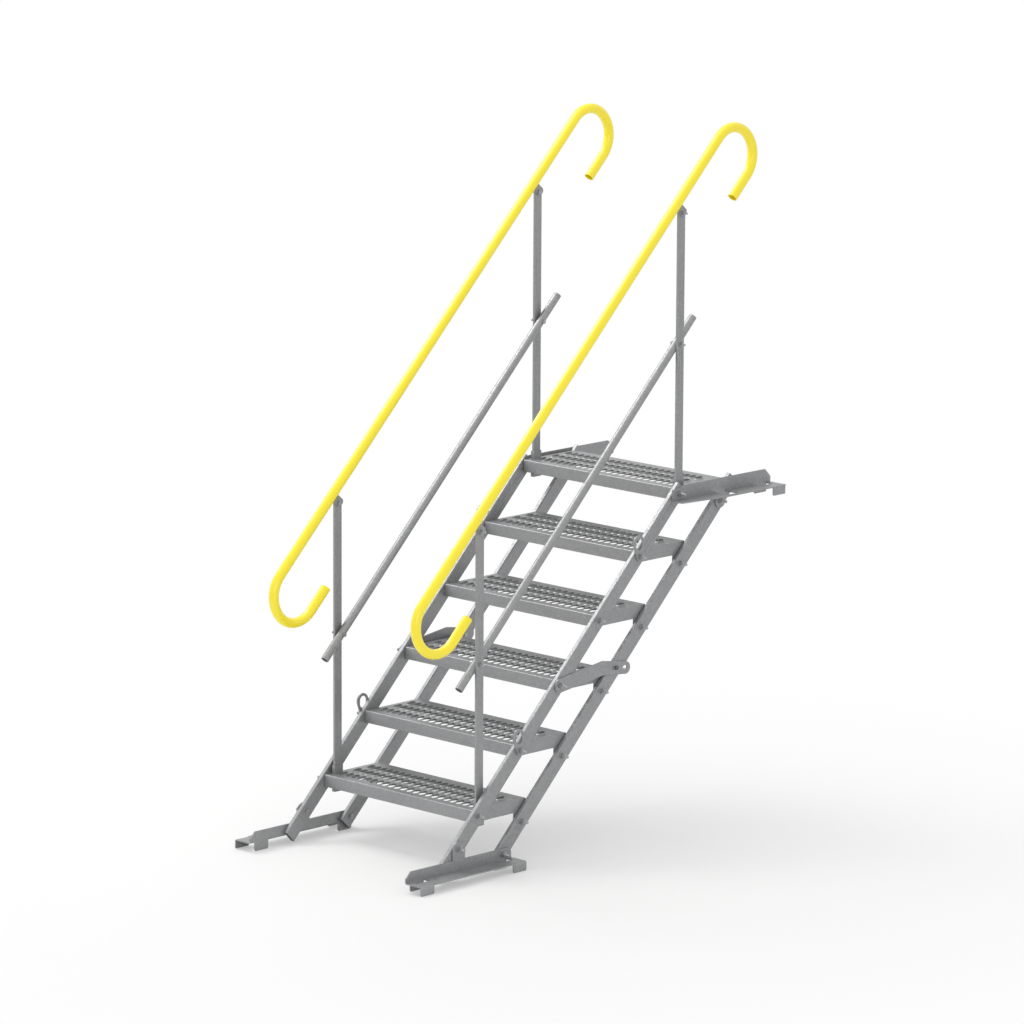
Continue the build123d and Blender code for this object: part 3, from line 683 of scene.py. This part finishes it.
print("a 15 mm thread has", len(thread(0.0, 0.015, 0.005, 0.0015)), "stations")

# %% [markdown]
# A whole bolt is five parts on one axis. The pivots have bolts of 10 mm, and the rails have bolts of
# 8 mm. The clamp bolt of the lock arm is a rail bolt with a longer end.

# %% A whole bolt
def bolt(radius, flat, head, nut, stub, washer, inner, outer, pitch):
    """All parts of one bolt: head up to inner, washer and nut from outer, thread beyond.

    Lengths are in metres; flat is half the width across the head, and washer is (radius, thickness).
    """
    nut_start = outer + washer[1]
    return [
        hex_solid(flat, inner, inner - head, both=False),
        turned([(inner, radius), (outer + 0.5 * nut, radius)]),
        turned(washer_profile(outer, *washer)),
        hex_solid(flat, nut_start, nut_start + nut),
        turned(thread(outer + 0.5 * nut, outer + nut + stub, radius, pitch)),
    ]


PIVOT = dict(radius=0.005, flat=0.008, head=0.0064, nut=0.008, stub=0.019, pitch=0.0015)
PIVOT["washer"] = (0.0092, 0.0018)
RAIL = dict(radius=0.004, flat=0.0065, head=0.0053, nut=0.0065, stub=0.013, pitch=0.00125)
RAIL["washer"] = (0.0075, 0.0014)
LOCK = {**RAIL, "stub": 0.023}
print("a pivot bolt has", sum(len(faces) for _, faces in bolt(inner=0.34, outer=0.36, **PIVOT)), "faces")

# %% [markdown]
# ### Where the bolts sit
#
# The pivots' heads lie behind the end plates, and their nuts outside the stringers, or outside the
# plates and arms where one is bolted on. Each set stands for one CAD node, with both hands of each
# bolt: the left one is the mirror image of the right one.

# %% Place the bolts
GAP = 0.0003
HEAD_AT_TREAD = END_PLATE_IN - GAP
FRONT_PLATES = (0, 2, 3, 5, 6)  # pivots where a plate or an arm lies outside the stringer
REAR_PLATES = (0, 6)
LOCK_ALONG = 0.098  # from tread 3's rear pivot up the slope to the clamp bolt
POST_X = 0.329
POST_HALF = 0.004
LUG_HALF = 0.0076
MID_RAIL_RADIUS = 0.01345
MID_RAIL_X = POST_X - POST_HALF - GAP - MID_RAIL_RADIUS
POST_BACK = 0.033  # from a front pivot back to the middle of the post
HANDRAIL_UP = 0.932
MID_RAIL_UP = 0.493


def bolt_set(name, places):
    """Both hands of each bolt given as (kind, (y, z), inner, outer), as one piece for its CAD node."""
    parts = []
    for kind, (y, z), inner, outer in places:
        for part in bolt(inner=inner, outer=outer, **kind):
            parts += [moved(part, (MID_X, y, z)), moved(mirrored(part), (MID_X, y, z))]
    made = piece(f"{name}_threaded", parts, zinc, body_of(name), replaced=(name,))
    crisp(made, 28.0)
    print(name, len(made.data.polygons), "faces")


print("mid-rail", round(MID_RAIL_X * 1000, 2), "mm from the middle")

# %% The stair's bolts
front_places, rear_places = [], []
for k in range(TREADS + 1):
    head = STRINGER_IN if k == 0 else HEAD_AT_TREAD
    front_places.append((PIVOT, front_pivot(k), head, PLATE_OUT if k in FRONT_PLATES else STRINGER_OUT))
    rear_places.append((PIVOT, rear_pivot(k), head, PLATE_OUT if k in REAR_PLATES else STRINGER_OUT))
bolt_set("front_pivot_bolts", front_places)
bolt_set("rear_pivot_bolts", rear_places)
lock_y, lock_z = rear_pivot(3)
lock_place = (lock_y + LOCK_ALONG * math.cos(SLOPE), lock_z + LOCK_ALONG * math.sin(SLOPE))
bolt_set("lock_bolts", [(LOCK, lock_place, STRINGER_IN, PLATE_OUT)])
for name, k in (("lower_rail_bolts", 1), ("upper_rail_bolts", 6)):
    y, z = front_pivot(k)
    bolt_set(name, [
        (RAIL, (y + POST_BACK, z + HANDRAIL_UP), POST_X - LUG_HALF, POST_X + LUG_HALF),
        (RAIL, (y + POST_BACK, z + MID_RAIL_UP), MID_RAIL_X - MID_RAIL_RADIUS - GAP, POST_X + POST_HALF),
    ])

# %% [markdown]
# ## Edges
#
# Cut and folded steel never has a perfectly sharp edge: zinc rounds it, and the round catches a thin
# line of light. The flat and folded CAD pieces get this small rounding as a modifier, which leaves the
# CAD's mesh as it is. The rails are bent tubes, which only need smooth shading with a crisp edge at
# their open ends.

# %% Round the edges of the CAD pieces
STEEL_ROUND = 0.0007
FOLDED = ("foot_bracket", "top_bracket", "lock_arm", "lifting", "front_stringer", "rear_stringer",
          "lower_post", "upper_post", "lower_sockets", "upper_sockets", "handrail_lugs")
TUBES = ("handrail_right", "handrail_left", "mid_rail")

folded_names = [name for name in nodes if name.startswith(FOLDED)]
tube_names = [name for name in nodes if name.startswith(TUBES)]
for name in folded_names:
    soften(nodes[name], STEEL_ROUND)
for name in tube_names:
    weld(nodes[name])
    crisp(nodes[name], 35.0)
print("rounded", len(folded_names), "nodes and smoothed", len(tube_names), "tubes")

# %% [markdown]
# ## The ground
#
# The stair stands on a white sweep. The floor is a plain diffuse sheet that keeps the soft shadow.

# %% Floor sheet
FLOOR_HALF = 40.0

floor_mesh = bpy.data.meshes.new("floor")
corners = [(x * FLOOR_HALF, y * FLOOR_HALF, cad_low.z) for x, y in ((-1, -1), (1, -1), (1, 1), (-1, 1))]
floor_mesh.from_pydata(corners, [], [(0, 1, 2, 3)])
floor = bpy.data.objects.new("floor", floor_mesh)
bpy.context.scene.collection.objects.link(floor)
print("floor at", round(cad_low.z, 4), "m")

# %% [markdown]
# A lit sheet alone turns grey towards its horizon. Further out, the camera therefore sees the floor
# fade into plain white. The fade reads the distance from a point under the stair, and only the camera's
# own rays see it: the light still meets the sheet.

# %% Floor that fades into white
FLOOR_GREY = 0.8
FADE_PLACE = (MID_X + 0.3, 0.25, cad_low.z)
FADE_DISTANCES = (0.3, 3.2)
FADE_SHARES = (0.30, 1.0)

floor_material, tree, shader, place = new_material("floor")
shader.inputs["Base Color"].default_value = (FLOOR_GREY, FLOOR_GREY, FLOOR_GREY, 1)
shader.inputs["Roughness"].default_value = 0.6
shader.inputs["Specular IOR Level"].default_value = 0.2
paths = tree.nodes.new("ShaderNodeLightPath")
white = tree.nodes.new("ShaderNodeEmission")
white.inputs["Color"].default_value = (1, 1, 1, 1)
white.inputs["Strength"].default_value = 1.0
away = tree.nodes.new("ShaderNodeVectorMath")
away.operation = "DISTANCE"
away.inputs[1].default_value = FADE_PLACE
tree.links.new(place.outputs["Object"], away.inputs[0])
fade = tree.nodes.new("ShaderNodeMapRange")
fade.interpolation_type = "SMOOTHSTEP"
fade.inputs["From Min"].default_value, fade.inputs["From Max"].default_value = FADE_DISTANCES
fade.inputs["To Min"].default_value, fade.inputs["To Max"].default_value = FADE_SHARES
tree.links.new(away.outputs["Value"], fade.inputs["Value"])
seen = tree.nodes.new("ShaderNodeMath")
seen.operation = "MULTIPLY"
tree.links.new(paths.outputs["Is Camera Ray"], seen.inputs[0])
tree.links.new(fade.outputs["Result"], seen.inputs[1])
blend = tree.nodes.new("ShaderNodeMixShader")
tree.links.new(seen.outputs["Value"], blend.inputs["Fac"])
tree.links.new(shader.outputs["BSDF"], blend.inputs[1])
tree.links.new(white.outputs["Emission"], blend.inputs[2])
tree.links.new(blend.outputs["Shader"], tree.nodes["Material Output"].inputs["Surface"])
floor_mesh.materials.append(floor_material)
print("floor is white from", FADE_DISTANCES[1], "m on")

# %% [markdown]
# ## The light
#
# A white world lights the stair evenly from all round, and the camera sees it as pure white. The light
# that it gives is a little weaker than that, so that the lamps still shape the steel.

# %% World
WORLD_LIGHT = 0.85
WORLD_SEEN = 1.0

world = bpy.data.worlds.new("studio")
bpy.context.scene.world = world
world.use_nodes = True
tree = world.node_tree
background = tree.nodes["Background"]
paths = tree.nodes.new("ShaderNodeLightPath")
level = tree.nodes.new("ShaderNodeMix")
level.inputs["A"].default_value = WORLD_LIGHT
level.inputs["B"].default_value = WORLD_SEEN
tree.links.new(paths.outputs["Is Camera Ray"], level.inputs["Factor"])
tree.links.new(level.outputs["Result"], background.inputs["Strength"])
background.inputs["Color"].default_value = (1, 1, 1, 1)
print("world", WORLD_LIGHT, "and seen as", WORLD_SEEN)

# %% [markdown]
# Three square soft boxes shape the steel. The key hangs above the left side, away from the camera, and
# draws the shadow and the gloss on the tubes. The overhead one brightens what faces up, and the fill
# lifts the faces towards the camera. Small or bare lamps would leave hard spots on the bolts.

# %% Lamps
def soft_box(name, place, aim, size, power):
    """A square area lamp at place that faces aim, in metres, with its power in watts."""
    lamp = bpy.data.lights.new(name, "AREA")
    lamp.size = size
    lamp.energy = power
    box = bpy.data.objects.new(name, lamp)
    box.location = place
    box.rotation_euler = (Vector(aim) - Vector(place)).to_track_quat("-Z", "Y").to_euler()
    bpy.context.scene.collection.objects.link(box)
    print(name, size, "m wide,", power, "W")


middle = (cad_low + cad_high) / 2
soft_box("key", (-3.6, -0.05, 4.9), (-0.2, 0.7, 1.0), 2.3, 110.0)
soft_box("overhead", (middle.x - 1.0, middle.y - 0.5, 6.5), middle, 3.5, 55.0)
soft_box("fill", (middle.x + 6.0, middle.y - 5.0, 3.0), middle, 4.0, 55.0)
bpy.context.scene.view_settings.view_transform = "Standard"
